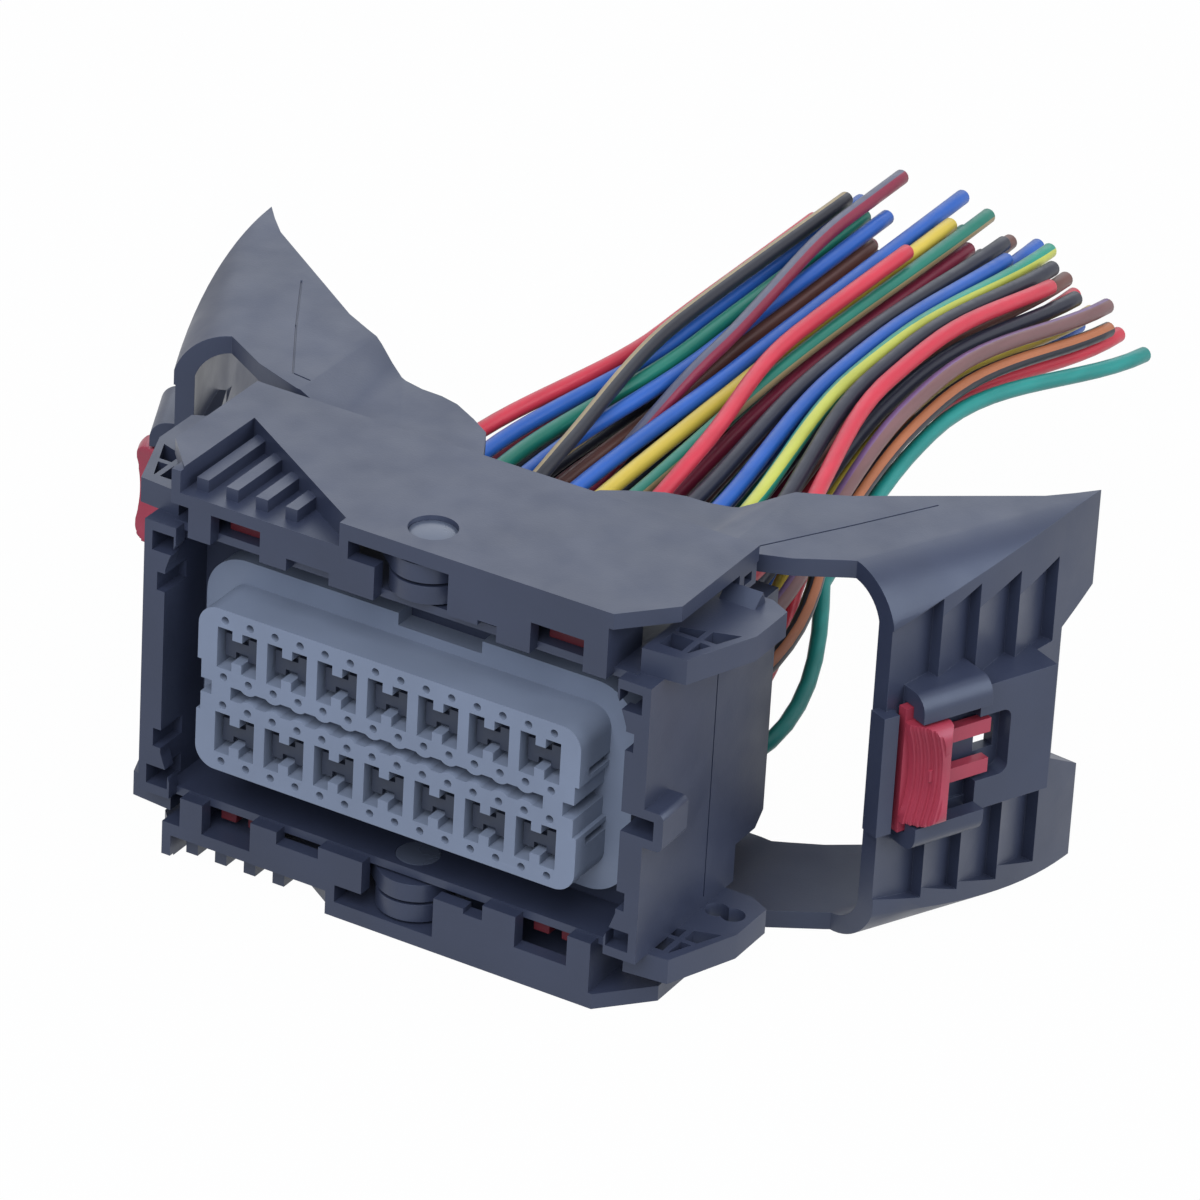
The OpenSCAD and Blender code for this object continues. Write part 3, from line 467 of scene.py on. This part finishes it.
def soften(part, width):
    """Joins split vertices, clears flat seams and rounds the sharp edges."""
    weld = part.modifiers.new("weld", "WELD")
    weld.merge_threshold = WELD_REACH * MM
    flat = part.modifiers.new("flat", "DECIMATE")
    flat.decimate_type = "DISSOLVE"
    flat.angle_limit = math.radians(FLAT_ANGLE)
    edge = part.modifiers.new("edge", "BEVEL")
    edge.width = width * MM
    edge.segments = ROUND_STEPS
    edge.limit_method = "ANGLE"
    edge.angle_limit = math.radians(SHARP_ANGLE)
    edge.use_clamp_overlap = True
    shade = part.modifiers.new("shade", "WEIGHTED_NORMAL")
    shade.weight = FACE_WEIGHT
    shade.keep_sharp = False


def dress(name, material):
    part = nodes[name]
    part.data.materials.clear()
    part.data.materials.append(material)
    for polygon in part.data.polygons:
        polygon.use_smooth = True
        polygon.material_index = 0
    if name in EDGE_ROUND:
        soften(part, EDGE_ROUND[name])


# Stage: white floor, soft lamps and an even surround, in metres and watts
FLOOR_HALF = 3.0
FLOOR_GREY = (0.40, 0.41, 0.44, 1)
FLOOR_GLOW = 0.985
WHITE = (1, 1, 1, 1)
MIDDLE = (0, 0.02, 0.02)
# Lamps: name, place, size, power and colour
LAMPS = [
    ("back", (-0.35, 0.75, 0.58), 0.9, 2.4, (0.86, 0.91, 1)),
    ("front", (0.10, -0.62, 0.68), 0.8, 11.0, (0.84, 0.90, 1)),
    ("side", (0.80, 0.16, 0.50), 0.9, 8.0, (0.88, 0.93, 1)),
]
SURROUND_COLOUR = (0.54, 0.71, 1.0)
SURROUND_STRENGTH = 0.28


def seen_or_mirrored(tree):
    """One for rays that are seen, mirrored or let through, and nothing for the light on the object."""
    path = tree.nodes.new("ShaderNodeLightPath")
    seen = path.outputs["Is Camera Ray"]
    for ray in ("Is Glossy Ray", "Is Transmission Ray"):
        either = tree.nodes.new("ShaderNodeMath")
        either.operation = "MAXIMUM"
        tree.links.new(seen, either.inputs[0])
        tree.links.new(path.outputs[ray], either.inputs[1])
        seen = either.outputs["Value"]
    return seen


def add_floor():
    """Matt grey to the light on the object, and nearly white where it is seen or mirrored."""
    corners = [(-1, -1), (1, -1), (1, 1), (-1, 1)]
    points = [(x * FLOOR_HALF, y * FLOOR_HALF, 0) for x, y in corners]
    mesh = bpy.data.meshes.new("floor")
    mesh.from_pydata(points, [], [(0, 1, 2, 3)])
    floor = bpy.data.objects.new("floor", mesh)
    material, tree, shader = new_material("floor")
    shader.inputs["Base Color"].default_value = FLOOR_GREY
    shader.inputs["Roughness"].default_value = 0.9
    shader.inputs["Specular IOR Level"].default_value = 0.0
    glow = tree.nodes.new("ShaderNodeEmission")
    glow.inputs["Color"].default_value = WHITE
    share = tree.nodes.new("ShaderNodeMath")
    share.operation = "MULTIPLY"
    share.inputs[1].default_value = FLOOR_GLOW
    mix = tree.nodes.new("ShaderNodeMixShader")
    tree.links.new(seen_or_mirrored(tree), share.inputs[0])
    tree.links.new(share.outputs["Value"], mix.inputs["Fac"])
    tree.links.new(shader.outputs["BSDF"], mix.inputs[1])
    tree.links.new(glow.outputs["Emission"], mix.inputs[2])
    tree.links.new(mix.outputs["Shader"], tree.nodes["Material Output"].inputs["Surface"])
    mesh.materials.append(material)
    bpy.context.scene.collection.objects.link(floor)


def add_lamp(name, place, size, power, colour):
    data = bpy.data.lights.new(name, "AREA")
    data.size = size
    data.energy = power
    data.color = colour
    lamp = bpy.data.objects.new(name, data)
    lamp.location = place
    lamp.rotation_mode = "QUATERNION"
    lamp.rotation_quaternion = (Vector(MIDDLE) - Vector(place)).to_track_quat("-Z", "Y")
    bpy.context.scene.collection.objects.link(lamp)


def add_surround():
    """Even light from all round, and white where it is seen or mirrored."""
    world = bpy.data.worlds.new("surround")
    world.use_nodes = True
    tree = world.node_tree
    light = tree.nodes["Background"]
    light.inputs["Color"].default_value = (*SURROUND_COLOUR, 1)
    light.inputs["Strength"].default_value = SURROUND_STRENGTH
    white = tree.nodes.new("ShaderNodeBackground")
    white.inputs["Color"].default_value = WHITE
    mix = tree.nodes.new("ShaderNodeMixShader")
    tree.links.new(seen_or_mirrored(tree), mix.inputs["Fac"])
    tree.links.new(light.outputs["Background"], mix.inputs[1])
    tree.links.new(white.outputs["Background"], mix.inputs[2])
    tree.links.new(mix.outputs["Shader"], tree.nodes["World Output"].inputs["Surface"])
    bpy.context.scene.world = world


add_camera()
for row in range(len(ROW_Z)):
    for column in range(CONTACT_COLUMNS):
        add_wire(row, column)
for node_name, node_material in NODE_MATERIALS.items():
    dress(node_name, node_material)
add_finger_faces()
add_floor()
for lamp_values in LAMPS:
    add_lamp(*lamp_values)
add_surround()
bpy.context.scene.view_settings.view_transform = "Standard"
